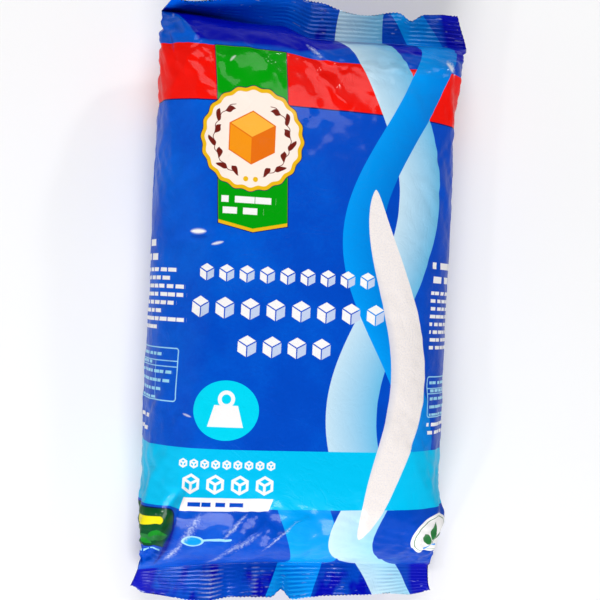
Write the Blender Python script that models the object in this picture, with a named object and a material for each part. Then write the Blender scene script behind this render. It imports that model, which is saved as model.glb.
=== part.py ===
"""A one-kilogram sugar packet: a sealed bag of printed film, lying on its back, as one solid.

The bag is a tube of film that was crimped shut at both ends. Its cross-section starts as a plump
rounded rectangle and is pressed flat into a fin at each end, while the side walls tuck in between
the front and the back. Metres, +X right, +Y towards the top fin, +Z out of the printed front.

A point of the film is found from its place, the signed length round the girth from the middle of
the front (positive to the right), and from the station along the bag that its ring belongs to.
"""

import math

import bmesh
import bpy
import numpy as np

# Driving dimensions of the filled bag
HALF_WIDTH = 0.0628
THICKNESS = 0.055
CORNER_POWER = 3.5  # exponent of the superellipse section: 2 is an ellipse, more is boxier
FLOOR_FLAT = 0.0010  # how much of the round underside its own weight presses flat
FIN_HALF_WIDTH = 0.0640
FIN_THICKNESS = 0.0010
FIN_LENGTH = 0.0135

# Stations along the bag, in the middle of its width, and the heights of the fins' roots
BOTTOM_ROOT_Y = -0.1102
BOTTOM_SHOULDER_Y = -0.084
TOP_SHOULDER_Y = 0.091
TOP_ROOT_Y = 0.1082
BOTTOM_FIN_Z = 0.019
TOP_FIN_Z = 0.025

# Folds and relief
TUCK_DEPTH = 0.016  # how far the side walls go in between the front and the back
RIB_PITCH = 0.0030
RIB_DEPTH = 0.00025
SEAM_FLAP_WIDTH = 0.0125
SEAM_STEP = 0.0006
HIP_REACH = 0.0085  # how far each side of its crest a hip's ridge falls away

# Mesh density
FRONT_COLUMNS = 32
SIDE_COLUMNS = 7
FIN_ROWS = 8
SHOULDER_ROWS = 11
BODY_ROWS = 22

FILM_BLUE = (0.0, 0.085, 0.62, 1.0)
FILM_ROUGHNESS = 0.28

# The stretched film's ridges on the front: (start, end, height of the crest, reach)
RIDGES = (
    ((-0.058, -0.114), (-0.038, -0.080), 0.0024, HIP_REACH),  # hip of the lower left corner
    ((0.060, -0.107), (0.044, -0.080), 0.0018, HIP_REACH),  # hip of the lower right corner
    ((-0.060, 0.118), (-0.043, 0.096), 0.0018, HIP_REACH),  # hip of the upper left corner
    ((0.062, 0.108), (0.045, 0.086), 0.0018, HIP_REACH),  # hip of the upper right corner
    ((-0.034, -0.113), (0.006, -0.086), 0.0012, 0.0065),  # fold that the notched fin pulls
    ((-0.002, 0.110), (0.010, 0.092), 0.0012, 0.0065),  # fold beside the upper dent
)


def smooth(start, end, value):
    """0 at start and before it, 1 at end and past it, with an S-curve between them."""
    share = min(1.0, max(0.0, (value - start) / (end - start)))
    return share * share * (3 - 2 * share)


def bump(value, centre, reach):
    """A round hill of height 1 at centre, nearly gone at twice its reach."""
    return math.exp(-(((value - centre) / reach) ** 2))


def tent(value, centre, reach):
    """A straight-sided hill of height 1 at centre, gone at its reach."""
    return max(0.0, 1 - abs(value - centre) / reach)


def plump_section(samples=1441):
    """Half of the body's section from the middle of the front: (length along it, x, z)."""
    angle = np.linspace(math.pi / 2, -math.pi / 2, samples)
    sine = np.sin(angle)
    x = HALF_WIDTH * np.cos(angle).clip(0) ** (2 / CORNER_POWER)
    z = THICKNESS / 2 * np.sign(sine) * np.abs(sine) ** (2 / CORNER_POWER)
    run = np.concatenate([[0], np.cumsum(np.hypot(np.diff(x), np.diff(z)))])
    return run, x, z


RUN, SECTION_X, SECTION_Z = plump_section()
HALF_GIRTH = RUN[-1]
SIDE_LENGTH = HALF_GIRTH - 2 * FIN_HALF_WIDTH


def body_ring(place):
    """(x, z) on the plump section, its flattened underside at z 0."""
    x = math.copysign(np.interp(abs(place), RUN, SECTION_X), place)
    z = np.interp(abs(place), RUN, SECTION_Z) + THICKNESS / 2
    return x, max(z - FLOOR_FLAT, 0.0)


def fin_ring(place, tuck):
    """(x, height over the fin's middle) on the pressed section, its sides folded in by tuck."""
    run = abs(place)
    if run <= FIN_HALF_WIDTH:
        x, side = run, 1.0
    elif run >= FIN_HALF_WIDTH + SIDE_LENGTH:
        x, side = HALF_GIRTH - run, -1.0
    else:
        side = 1 - 2 * (run - FIN_HALF_WIDTH) / SIDE_LENGTH
        x = FIN_HALF_WIDTH - tuck * (1 - abs(side))
    return math.copysign(x, place), side * FIN_THICKNESS / 2


class BottomEnd:
    """The end with the lower fin, whose ends turn down."""

    direction = -1
    shoulder_y = BOTTOM_SHOULDER_Y
    root_spread = 0.965
    edge_spread = 1.005

    def root_y(self, x):
        return BOTTOM_ROOT_Y + 0.036 * x - 0.60 * x * x

    def root_z(self, x):
        return BOTTOM_FIN_Z + 0.0012 * math.sin(x / 0.020)

    def tilt(self, x):
        """Angle of the fin over the level, in radians."""
        return 0.10 - 0.75 * smooth(-0.030, -0.064, x) - 0.60 * smooth(0.020, 0.062, x)

    def length(self, x):
        waves = 0.0004 * math.sin(x / 0.0062 + 0.7)
        short_end = 0.0012 * smooth(0.010, 0.050, x)
        notch = 0.0042 * bump(x, -0.002, 0.0026)
        return FIN_LENGTH + 0.0010 + waves - short_end - notch

    def ruffle(self, x, out):
        """Height that the fin's pleats and waves add, out being 0 at its root and 1 at its edge."""
        waves = 0.0009 * math.sin(x / 0.0070 + 2.1) + 0.0005 * math.sin(x / 0.0034)
        pleat = 0.0026 * tent(x, -0.031, 0.007)
        curl = 0.0036 * bump(x, -0.001, 0.005)
        return out * (waves + pleat + curl)


class TopEnd:
    """The end with the upper fin, which stands up at the left and lies back at the right."""

    direction = 1
    shoulder_y = TOP_SHOULDER_Y
    root_spread = 1.010
    edge_spread = 0.955

    def root_y(self, x):
        standing = 0.0050 * smooth(0.001, -0.014, x) + 0.0028 * smooth(-0.020, -0.060, x)
        return TOP_ROOT_Y + 0.010 * x + standing

    def root_z(self, x):
        return TOP_FIN_Z - 0.002 * bump(x, -0.030, 0.025)

    def tilt(self, x):
        """Angle of the fin over the level, in radians."""
        return 0.16 + 0.62 * smooth(0.002, -0.016, x) + 0.62 * smooth(-0.014, -0.058, x)

    def length(self, x):
        waves = 0.0004 * math.sin(x / 0.0055 + 1.9)
        crest = 0.0016 * bump(x, 0.000, 0.008)
        dips = 0.0020 * bump(x, 0.022, 0.010) + 0.0032 * bump(x, 0.041, 0.0035)
        return FIN_LENGTH + waves + crest - dips

    def ruffle(self, x, out):
        """Height that the fin's pleats and waves add, out being 0 at its root and 1 at its edge."""
        waves = 0.0008 * math.sin(x / 0.0058 + 0.4) + 0.0005 * math.sin(x / 0.0027)
        return out * (waves - 0.0020 * tent(x, 0.041, 0.006))


def body_point(place, y):
    x, z = body_ring(place)
    return x, y, z


def shoulder_point(place, along, end):
    """A point between the shoulder line (along 0) and the root of that end's fin (along 1)."""
    x_body, z_body = body_ring(place)
    y = end.shoulder_y + (end.root_y(x_body) - end.shoulder_y) * along
    on_front = abs(place) < FIN_HALF_WIDTH + SIDE_LENGTH / 2
    power, fall = (2.1, 0.80) if on_front else (2.6, 0.62)
    pressed = 1 - (1 - along**power) ** fall
    x_fin, z_fin = fin_ring(place, TUCK_DEPTH * 4 * pressed * (1 - pressed))
    x_fin *= end.root_spread
    x = (1 - pressed) * x_body + pressed * x_fin
    z = (1 - pressed) * z_body + pressed * (z_fin + end.root_z(x_fin))
    return x, y, z


def fin_point(place, out, end):
    """A point of the crimped fin, out going from 0 at its root to 1 at its cut edge."""
    x, z = fin_ring(place, 0.0)
    x *= end.root_spread + (end.edge_spread - end.root_spread) * out
    run, tilt = end.length(x) * out, end.tilt(x)
    rib = RIB_DEPTH * math.sin(2 * math.pi * run / RIB_PITCH) * smooth(0, 0.2, out)
    y = end.root_y(x) + end.direction * run * math.cos(tilt)
    z += end.root_z(x) + run * math.sin(tilt) + end.ruffle(x, out) + rib
    return x, y, z


def ridge(x, y, start, end, height, reach):
    """A straight ridge of the film, highest half way from start to end."""
    run_x, run_y = end[0] - start[0], end[1] - start[1]
    length = math.hypot(run_x, run_y)
    along = ((x - start[0]) * run_x + (y - start[1]) * run_y) / length**2
    off = ((x - start[0]) * run_y - (y - start[1]) * run_x) / length
    if not 0 < along < 1:
        return 0.0
    return height * math.sin(math.pi * along) * bump(off, 0, reach)


def front_relief(x, y):
    """The swells, dents and ridges that the sugar behind the film gives to the front."""
    swell = 0.0007 * math.sin(x / 0.017 + 0.8) * math.sin(y / 0.023 + 0.3)
    pinch = -0.0010 * bump(y, 0.022, 0.016) * smooth(0.005, -0.055, x)
    dent = -0.0018 * bump(x, 0.000, 0.014) * bump(y, 0.092, 0.010)
    return swell + pinch + dent + sum(ridge(x, y, *row) for row in RIDGES)


def seam_relief(place):
    """Next to the free edge of the lengthwise seam's flap, the back is a step off the floor."""
    off_flap = HALF_GIRTH + place - SEAM_FLAP_WIDTH
    return SEAM_STEP * smooth(0, 0.004, off_flap) * smooth(0.016, 0.005, off_flap)


def width_factor(x, y):
    """How the outline swells and narrows along the bag, differently on its two sides."""
    if x > 0:
        swells = 0.040 * bump(y, -0.084, 0.013) + 0.014 * bump(y, 0.103, 0.012)
        return 1 - 0.018 * bump(y, -0.010, 0.042) + swells
    return 1 - 0.018 * bump(y, 0.004, 0.042) + 0.012 * bump(y, -0.089, 0.012)


def finished(point, place):
    """Adds the relief and the outline's variation to a bare point."""
    x, y, z = point
    on_body = smooth(TOP_ROOT_Y, TOP_SHOULDER_Y, y) * smooth(BOTTOM_ROOT_Y, BOTTOM_SHOULDER_Y, y)
    inside_corner = smooth(FIN_HALF_WIDTH + 0.004, 0.052, abs(place))
    z += front_relief(x, y) * inside_corner * math.sqrt(on_body)
    z += seam_relief(place) * on_body
    return x * width_factor(x, y), y, z


def girth_places():
    """The places of one ring, from the left front corner over the front and round the back."""
    across = np.linspace(-FIN_HALF_WIDTH, FIN_HALF_WIDTH, FRONT_COLUMNS + 1)
    down = FIN_HALF_WIDTH + SIDE_LENGTH * np.arange(1, SIDE_COLUMNS) / SIDE_COLUMNS
    back = [HALF_GIRTH - x if x >= 0 else -HALF_GIRTH - x for x in across[::-1]]
    return [*across, *down, *back, *-down[::-1]]


def ring_makers():
    """One function for each ring, from the bottom cut edge to the top one: place to point."""
    bottom, top = BottomEnd(), TopEnd()
    outs = np.linspace(0, 1, FIN_ROWS + 1)[1:]
    alongs = 1 - np.linspace(1, 0, SHOULDER_ROWS + 1)[1:] ** 1.3
    makers = [lambda p, out=out: fin_point(p, out, bottom) for out in outs[::-1]]
    makers += [lambda p, along=along: shoulder_point(p, along, bottom) for along in alongs[::-1]]
    for y in np.linspace(BOTTOM_SHOULDER_Y, TOP_SHOULDER_Y, BODY_ROWS + 1):
        makers.append(lambda p, y=y: body_point(p, y))
    makers += [lambda p, along=along: shoulder_point(p, along, top) for along in alongs]
    makers += [lambda p, out=out: fin_point(p, out, top) for out in outs]
    return makers


def cap_cut_edge(mesh, ring):
    """Closes a fin's cut edge with a strip between its front layer and its back layer."""
    front = ring[: FRONT_COLUMNS + 1]
    right_side = ring[FRONT_COLUMNS + 1 : FRONT_COLUMNS + SIDE_COLUMNS]
    back = ring[FRONT_COLUMNS + SIDE_COLUMNS :][: FRONT_COLUMNS + 1][::-1]
    left_side = ring[2 * FRONT_COLUMNS + SIDE_COLUMNS + 1 :]
    for i in range(FRONT_COLUMNS):
        corners = [front[i], front[i + 1]]
        corners += right_side if i == FRONT_COLUMNS - 1 else []
        corners += [back[i + 1], back[i]]
        corners += left_side if i == 0 else []
        mesh.faces.new(corners)


def lofted_bag():
    places = girth_places()
    mesh = bmesh.new()
    rings = [[mesh.verts.new(finished(make(p), p)) for p in places] for make in ring_makers()]
    for lower, upper in zip(rings, rings[1:]):
        for i in range(len(places)):
            mesh.faces.new((lower[i - 1], lower[i], upper[i], upper[i - 1]))
    cap_cut_edge(mesh, rings[0])
    cap_cut_edge(mesh, rings[-1])
    bmesh.ops.recalc_face_normals(mesh, faces=mesh.faces)
    return mesh


def centre_on_floor(mesh):
    """Moves the mesh so that its box stands on z 0 with its middle over the origin."""
    corners = np.array([v.co for v in mesh.verts])
    low, high = corners.min(0), corners.max(0)
    shift = (-(low[0] + high[0]) / 2, -(low[1] + high[1]) / 2, -low[2])
    bmesh.ops.translate(mesh, verts=mesh.verts, vec=shift)


def film_material():
    material = bpy.data.materials.new("printed_film")
    material.use_nodes = True
    shader = material.node_tree.nodes["Principled BSDF"]
    shader.inputs["Base Color"].default_value = FILM_BLUE
    shader.inputs["Roughness"].default_value = FILM_ROUGHNESS
    return material


def main():
    for obj in list(bpy.data.objects):
        bpy.data.objects.remove(obj)
    mesh = lofted_bag()
    centre_on_floor(mesh)
    data = bpy.data.meshes.new("sugar_packet")
    mesh.to_mesh(data)
    mesh.free()
    data.shade_smooth()
    data.materials.append(film_material())
    bpy.context.scene.collection.objects.link(bpy.data.objects.new("sugar_packet", data))


main()
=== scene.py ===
"""Looks of the one-kilogram sugar packet: its creased, printed film in place of the plain solid.

Metres, +X right, +Y towards the top fin, +Z out of the printed front. A point of the film is found
from its place, the signed length round the girth from the middle of the front (positive to the
right), and from its station, which runs from 0 at the bottom cut edge to 5 at the top cut edge:
bottom fin, bottom shoulder, body, top shoulder and top fin take one unit each.
"""

import math
from functools import partialmethod

import bpy
import numpy as np
from mathutils import Matrix, Vector


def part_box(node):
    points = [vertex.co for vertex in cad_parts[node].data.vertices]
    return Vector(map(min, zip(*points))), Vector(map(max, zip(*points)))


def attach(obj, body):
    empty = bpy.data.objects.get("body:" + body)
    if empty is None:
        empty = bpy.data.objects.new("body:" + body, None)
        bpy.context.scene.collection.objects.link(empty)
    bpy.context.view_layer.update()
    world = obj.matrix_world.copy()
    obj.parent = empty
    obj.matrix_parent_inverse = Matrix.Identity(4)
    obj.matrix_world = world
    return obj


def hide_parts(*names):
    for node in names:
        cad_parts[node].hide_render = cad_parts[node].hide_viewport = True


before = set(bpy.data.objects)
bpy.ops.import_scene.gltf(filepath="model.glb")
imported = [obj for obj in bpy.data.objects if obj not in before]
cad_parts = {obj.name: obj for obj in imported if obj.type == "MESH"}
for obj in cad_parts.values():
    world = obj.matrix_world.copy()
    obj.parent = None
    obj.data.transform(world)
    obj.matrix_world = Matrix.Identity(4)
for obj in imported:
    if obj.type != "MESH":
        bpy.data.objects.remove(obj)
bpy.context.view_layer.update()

# Driving dimensions of the filled bag, the same as the solid's
HALF_WIDTH = 0.0628
THICKNESS = 0.055
CORNER_POWER = 3.5  # exponent of the superellipse section
FLOOR_FLAT = 0.0010
FIN_HALF_WIDTH = 0.0640
FIN_LENGTH = 0.0135
BOTTOM_SHOULDER_Y = -0.084
TOP_SHOULDER_Y = 0.091
BOTTOM_FIN_Z = 0.019
TOP_FIN_Z = 0.025

# Film and seals
FIN_THICKNESS = 0.0004
RIB_PITCH = 0.0017
RIB_DEPTH = 0.00018
TOOTH_DEPTH = 0.0006
SEAM_FLAP_WIDTH = 0.0125
SEAM_STEP = 0.0006

# Mesh density
FRONT_COLUMNS = 168
SIDE_COLUMNS = 48
FIN_ROWS = 40
SHOULDER_ROWS = 54
BODY_ROWS = 150


def smooth(start, end, value):
    """0 at start and before it, 1 at end and past it, with an S-curve between them."""
    share = np.clip((value - start) / (end - start), 0.0, 1.0)
    return share * share * (3 - 2 * share)


def bump(value, centre, reach):
    """A round hill of height 1 at centre, nearly gone at twice its reach."""
    return np.exp(-(((value - centre) / reach) ** 2))


# ---------------------------------------------------------------- the bag's bare shape


def plump_section(samples=2881):
    """Half of the body's section from the middle of the front: (length along it, x, z)."""
    angle = np.linspace(math.pi / 2, -math.pi / 2, samples)
    sine = np.sin(angle)
    x = HALF_WIDTH * np.cos(angle).clip(0) ** (2 / CORNER_POWER)
    z = THICKNESS / 2 * np.sign(sine) * np.abs(sine) ** (2 / CORNER_POWER)
    run = np.concatenate([[0], np.cumsum(np.hypot(np.diff(x), np.diff(z)))])
    return run, x, z


RUN, SECTION_X, SECTION_Z = plump_section()
HALF_GIRTH = RUN[-1]
SIDE_LENGTH = HALF_GIRTH - 2 * FIN_HALF_WIDTH


def body_ring(place):
    """(x, z) on the plump section, its flattened underside at z 0."""
    x = np.sign(place) * np.interp(np.abs(place), RUN, SECTION_X)
    z = np.interp(np.abs(place), RUN, SECTION_Z) + THICKNESS / 2
    return x, np.maximum(z - FLOOR_FLAT, 0.0)


def fin_ring(place, spread):
    """(x, height over the fin's middle) on the pressed section, the side walls folded in."""
    run = np.abs(place)
    side = np.clip(1 - 2 * (run - FIN_HALF_WIDTH) / SIDE_LENGTH, -1, 1)
    tucked = FIN_HALF_WIDTH - SIDE_LENGTH / 2 * (1 - np.abs(side))
    x = np.where(run <= FIN_HALF_WIDTH, run, np.where(side > -1, tucked, HALF_GIRTH - run))
    return np.sign(place) * x * spread, side * FIN_THICKNESS / 2


class BottomEnd:
    """The end with the lower fin, whose ends turn down."""

    direction = -1
    shoulder_y = BOTTOM_SHOULDER_Y
    root_spread = 0.965
    edge_spread = 1.005

    def root_y(self, x):
        return -0.1102 + 0.036 * x - 0.60 * x * x

    def root_z(self, x):
        return BOTTOM_FIN_Z + 0.0012 * np.sin(x / 0.020)

    def tilt(self, x):
        """Angle of the fin over the level, in radians."""
        return 0.10 - 0.75 * smooth(-0.030, -0.064, x) - 0.60 * smooth(0.020, 0.062, x)

    def length(self, x):
        notch = 0.0042 * bump(x, -0.002, 0.0026)
        waves = 0.0004 * np.sin(x / 0.0062 + 0.7)
        corner = 0.0034 * bump(x, 0.057, 0.008) - 0.0045 * smooth(-0.0590, -0.0640, x)
        return FIN_LENGTH + 0.0010 - 0.0012 * smooth(0.010, 0.050, x) - notch + waves + corner

    def ruffle(self, x, out):
        """Height of the fin's pleats and waves, out being 0 at its root and 1 at its edge."""
        waves = 0.0009 * np.sin(x / 0.0070 + 2.1) + 0.0005 * np.sin(x / 0.0034)
        pleat = 0.0026 * np.clip(1 - np.abs(x + 0.031) / 0.007, 0, 1)
        small_pleat = 0.0016 * np.clip(1 - np.abs(x + 0.0125) / 0.0028, 0, 1)
        curl = 0.0036 * bump(x, -0.001, 0.005)
        return out * (waves + pleat + small_pleat + curl)


class TopEnd:
    """The end with the upper fin, which stands up at the left and lies back at the right."""

    direction = 1
    shoulder_y = TOP_SHOULDER_Y
    root_spread = 1.010
    edge_spread = 0.955

    def root_y(self, x):
        standing = 0.0050 * smooth(0.001, -0.014, x) + 0.0028 * smooth(-0.020, -0.060, x)
        return 0.1082 + 0.010 * x + standing

    def root_z(self, x):
        return TOP_FIN_Z - 0.002 * bump(x, -0.030, 0.025)

    def tilt(self, x):
        """Angle of the fin over the level, in radians."""
        return 0.16 + 0.62 * smooth(0.002, -0.016, x) + 0.62 * smooth(-0.014, -0.058, x)

    def length(self, x):
        dips = 0.0020 * bump(x, 0.022, 0.010) + 0.0032 * bump(x, 0.041, 0.0035)
        crest = 0.0016 * bump(x, 0.000, 0.008)
        return FIN_LENGTH - dips + crest + 0.0004 * np.sin(x / 0.0055 + 1.9)

    def ruffle(self, x, out):
        """Height of the fin's pleats and waves, out being 0 at its root and 1 at its edge."""
        waves = 0.0008 * np.sin(x / 0.0058 + 0.4) + 0.0005 * np.sin(x / 0.0027)
        pleat = 0.0020 * np.clip(1 - np.abs(x - 0.041) / 0.006, 0, 1)
        return out * (waves - pleat)


BOTTOM, TOP = BottomEnd(), TopEnd()


def shoulder_ring(place, along, end):
    """Points between the shoulder line (along 0) and the root of that end's fin (along 1)."""
    x_body, z_body = body_ring(place)
    below = smooth(0, SIDE_LENGTH / 2, np.abs(place) - FIN_HALF_WIDTH - SIDE_LENGTH / 2)
    pressed = 1 - (1 - along ** (2.1 + 0.5 * below)) ** (0.80 - 0.18 * below)
    x_fin, z_fin = fin_ring(place, end.root_spread)
    x = (1 - pressed) * x_body + pressed * x_fin
    y = end.shoulder_y + (end.root_y(x) - end.shoulder_y) * along
    z = (1 - pressed) * z_body + pressed * (z_fin + end.root_z(x_fin))
    return x, y, z


def fin_points(place, out, end):
    """Points of the crimped fin, out being 0 at its root and 1 at its cut edge."""
    spread = end.root_spread + (end.edge_spread - end.root_spread) * out
    x, z = fin_ring(place, spread)
    run, tilt = end.length(x) * out, end.tilt(x)
    patches = 0.55 + 0.55 * np.sin(x / 0.0085 + 1.1) + 0.35 * np.sin(x / 0.0031)
    rib = RIB_DEPTH * patches * np.sin(2 * math.pi * run / RIB_PITCH) * smooth(0.04, 0.12, out)
    y = end.root_y(x) + end.direction * run * np.cos(tilt)
    z = z + end.root_z(x) + run * np.sin(tilt) + end.ruffle(x, out) + rib
    return x, y, z


def bare_ring(place, station):
    """The film's points at one station, without its creases."""
    if station < 1:
        return fin_points(place, 1 - station, BOTTOM)
    if station < 2:
        return shoulder_ring(place, 2 - station, BOTTOM)
    if station <= 3:
        x, z = body_ring(place)
        y = BOTTOM_SHOULDER_Y + (TOP_SHOULDER_Y - BOTTOM_SHOULDER_Y) * (station - 2)
        return x, np.full_like(x, y), z
    if station <= 4:
        return shoulder_ring(place, station - 3, TOP)
    return fin_points(place, station - 4, TOP)


# Where the outline swells or narrows: (share of the half width, middle, reach)
RIGHT_WIDTH = 0.985
RIGHT_SWELLS = (
    (-0.014, -0.010, 0.042),
    (0.040, -0.084, 0.013),
    (0.030, 0.107, 0.014),
    (0.035, -0.127, 0.005),
)
LEFT_SWELLS = ((-0.018, 0.004, 0.042), (0.012, -0.089, 0.012), (0.024, 0.098, 0.014))
TOP_LEFT_NARROWING = 0.060


def swollen(width, swells, y):
    for share, middle, reach in swells:
        width = width + share * bump(y, middle, reach)
    return width


def width_factor(x, y):
    """How the outline swells and narrows along the bag, differently on its two sides."""
    right = swollen(RIGHT_WIDTH, RIGHT_SWELLS, y)
    left = swollen(1, LEFT_SWELLS, y) - TOP_LEFT_NARROWING * smooth(0.106, 0.122, y)
    return np.where(x > 0, right, left)


def bare_film(places, stations):
    """Grid of points, (stations, places, 3), of the film before it creases."""
    rings = [np.stack(bare_ring(places, s), axis=-1) for s in stations]
    grid = np.array(rings)
    grid[..., 0] *= width_factor(grid[..., 0], grid[..., 1])
    return grid


# ---------------------------------------------------------------- the film's grid and its length

BACK_HALF_COLUMNS = FRONT_COLUMNS // 2
FOLD_COLUMN = SIDE_COLUMNS // 2
LEFT_BACK_CORNER = BACK_HALF_COLUMNS
LEFT_FRONT_CORNER = LEFT_BACK_CORNER + SIDE_COLUMNS
RIGHT_FRONT_CORNER = LEFT_FRONT_CORNER + FRONT_COLUMNS
RIGHT_BACK_CORNER = RIGHT_FRONT_CORNER + SIDE_COLUMNS
COLUMNS = RIGHT_BACK_CORNER + BACK_HALF_COLUMNS


def girth_places():
    """Places of the columns, from the middle of the back over the front and round to it again."""
    corners = (
        (-HALF_GIRTH, BACK_HALF_COLUMNS),
        (-FIN_HALF_WIDTH - SIDE_LENGTH, SIDE_COLUMNS),
        (-FIN_HALF_WIDTH, FRONT_COLUMNS),
        (FIN_HALF_WIDTH, SIDE_COLUMNS),
        (FIN_HALF_WIDTH + SIDE_LENGTH, BACK_HALF_COLUMNS),
    )
    ends = [place for place, _ in corners[1:]] + [HALF_GIRTH]
    spans = [
        np.linspace(start, end, count, endpoint=False)
        for (start, count), end in zip(corners, ends)
    ]
    return np.concatenate(spans)


def bag_stations(fin_rows, shoulder_rows, body_rows):
    """Stations of the rows, closer together where the shoulders drop to the fins."""
    fin = np.linspace(0, 1, fin_rows + 1)
    shoulder = np.linspace(1, 0, shoulder_rows + 1)[::-1] ** 1.3
    body = np.linspace(0, 1, body_rows + 1)
    spans = (fin, 1 + shoulder, 2 + body, 3 + 1 - shoulder[::-1], 4 + fin)
    return np.unique(np.round(np.concatenate(spans), 9))


def film_lengths(grid, places):
    """Length of film from the middle of the bag to each row, along the middle of the front."""
    middle = np.abs(places) < 0.030
    steps = np.linalg.norm(np.diff(grid[:, middle], axis=0), axis=-1).mean(axis=1)
    lengths = np.concatenate([[0], np.cumsum(steps)])
    centre_y = grid[:, middle, 1].mean(axis=1)
    return lengths - np.interp(0, centre_y, lengths)


def resample(grid, positions, axis, wraps):
    """Reads a grid at fractional rows or columns with a smooth curve through its values."""
    base = np.floor(positions).astype(int)
    t = positions - base
    weights = (
        (-(t**3) + 2 * t**2 - t) / 2,
        (3 * t**3 - 5 * t**2 + 2) / 2,
        (-3 * t**3 + 4 * t**2 + t) / 2,
        (t**3 - t**2) / 2,
    )
    shape = [1] * grid.ndim
    shape[axis] = -1
    count = grid.shape[axis]
    total = 0
    for offset, weight in zip((-1, 0, 1, 2), weights):
        rows = base + offset
        rows = rows % count if wraps else rows.clip(0, count - 1)
        total = total + np.take(grid, rows, axis=axis) * weight.reshape(shape)
    return total


# ---------------------------------------------------------------- settling the film as cloth

CLOTH_COLUMNS = 110
CLOTH_STATIONS = bag_stations(5, 12, 54)
CLOTH_FRAMES = 24
CLOTH_SEED = 3
CLOTH_ROUGHNESS = 0.0001  # unevenness that the film starts to crease from
SHOULDER_SLACK = 1.06  # how much longer the film over the shoulders is than its shortest way
CREASE_CAP = 0.0070  # how far the cloth may move a point
TABLE_DROP = 0.0005  # room between the film and the table under it

CLOTH = {
    "quality": 6,
    "mass": 0.02,
    "air_damping": 1.0,
    "tension_stiffness": 80,
    "compression_stiffness": 80,
    "shear_stiffness": 20,
    "bending_stiffness": 0.05,
    "tension_damping": 5,
    "compression_damping": 5,
    "shear_damping": 5,
    "bending_damping": 0.5,
    "use_pressure": True,
    "uniform_pressure_force": 2.5,
    "pin_stiffness": 1.0,
}


def grid_faces(rows, columns):
    """Quads of a tube's grid, the last column joined to the first."""
    row, column = np.meshgrid(np.arange(rows - 1), np.arange(columns), indexing="ij")
    onward = (column + 1) % columns
    corners = (
        row * columns + column,
        row * columns + onward,
        (row + 1) * columns + onward,
        (row + 1) * columns + column,
    )
    return np.stack([c.ravel() for c in corners], axis=-1)


def cloth_rest(start, places):
    """The same film as a straight tube, with the girth and the lengths that it was cut to."""
    steps = np.diff(film_lengths(start, places))
    middle_station = (CLOTH_STATIONS[1:] + CLOTH_STATIONS[:-1]) / 2
    on_shoulder = (np.abs(middle_station - 1.5) < 0.5) | (np.abs(middle_station - 3.5) < 0.5)
    steps[on_shoulder] *= SHOULDER_SLACK
    lengths = np.concatenate([[0], np.cumsum(steps)])
    rest = np.zeros_like(start)
    rest[..., 0] = np.sign(places) * np.interp(np.abs(places), RUN, SECTION_X)
    rest[..., 1] = (lengths - lengths[-1] / 2)[:, None]
    rest[..., 2] = np.interp(np.abs(places), RUN, SECTION_Z) + THICKNESS / 2
    return rest


def pin_weights(places):
    """How firmly points are held: the fins wholly, the underside well, the front a little."""
    from_shoulders = np.minimum(CLOTH_STATIONS - 2, 3 - CLOTH_STATIONS)[:, None]
    low_wall, back_corner = FIN_HALF_WIDTH + 0.6 * SIDE_LENGTH, FIN_HALF_WIDTH + SIDE_LENGTH
    under = smooth(low_wall, back_corner, np.abs(places))
    front = 0.03 + 0.05 * smooth(0.045, 0.015, np.abs(places))
    body = (front + 0.6 * under) * smooth(-0.02, 0.10, from_shoulders)
    in_fin = (CLOTH_STATIONS <= 1.0) | (CLOTH_STATIONS >= 4.0)
    return np.where(in_fin[:, None], 1.0, np.where(from_shoulders >= 0, body, 0.0))


def settled_film():
    """Displacements of the cloth's grid after the film has found its own creases."""
    scene = bpy.context.scene
    places = (np.arange(CLOTH_COLUMNS) + 0.5) * 2 * HALF_GIRTH / CLOTH_COLUMNS - HALF_GIRTH
    start = bare_film(places, CLOTH_STATIONS)
    start += np.random.default_rng(CLOTH_SEED).normal(0, CLOTH_ROUGHNESS, start.shape)
    mesh = bpy.data.meshes.new("film cloth")
    faces = grid_faces(len(CLOTH_STATIONS), CLOTH_COLUMNS)
    mesh.from_pydata(start.reshape(-1, 3).tolist(), [], faces.tolist())
    cloth = bpy.data.objects.new("film cloth", mesh)
    scene.collection.objects.link(cloth)
    cloth.shape_key_add(name="Basis")
    rest_key = cloth.shape_key_add(name="Rest")
    rest_key.data.foreach_set("co", cloth_rest(start, places).ravel().astype(np.float32))
    rest_key.value = 0
    pins = cloth.vertex_groups.new(name="pins")
    for index, weight in enumerate(pin_weights(places).ravel()):
        pins.add([index], float(weight), "REPLACE")
    modifier = cloth.modifiers.new("cloth", "CLOTH")
    for name, value in CLOTH.items():
        setattr(modifier.settings, name, value)
    modifier.settings.effector_weights.gravity = 0
    modifier.settings.vertex_group_mass = pins.name
    modifier.settings.rest_shape_key = rest_key
    modifier.collision_settings.use_collision = True
    modifier.collision_settings.distance_min = 0.0005
    bpy.ops.mesh.primitive_plane_add(size=1, location=(0, 0, -TABLE_DROP))
    table = bpy.context.object
    table.modifiers.new("collision", "COLLISION")
    table.collision.thickness_outer = 0.001
    scene.frame_start, scene.frame_end = 1, CLOTH_FRAMES
    for step in range(1, CLOTH_FRAMES + 1):
        scene.frame_set(step)
    settled = cloth.evaluated_get(bpy.context.evaluated_depsgraph_get()).to_mesh()
    ends = np.empty(len(settled.vertices) * 3, np.float32)
    settled.vertices.foreach_get("co", ends)
    moved = ends.reshape(start.shape).astype(float) - start
    for helper in (cloth, table):
        bpy.data.objects.remove(helper)
    scene.frame_set(1)
    return moved


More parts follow.
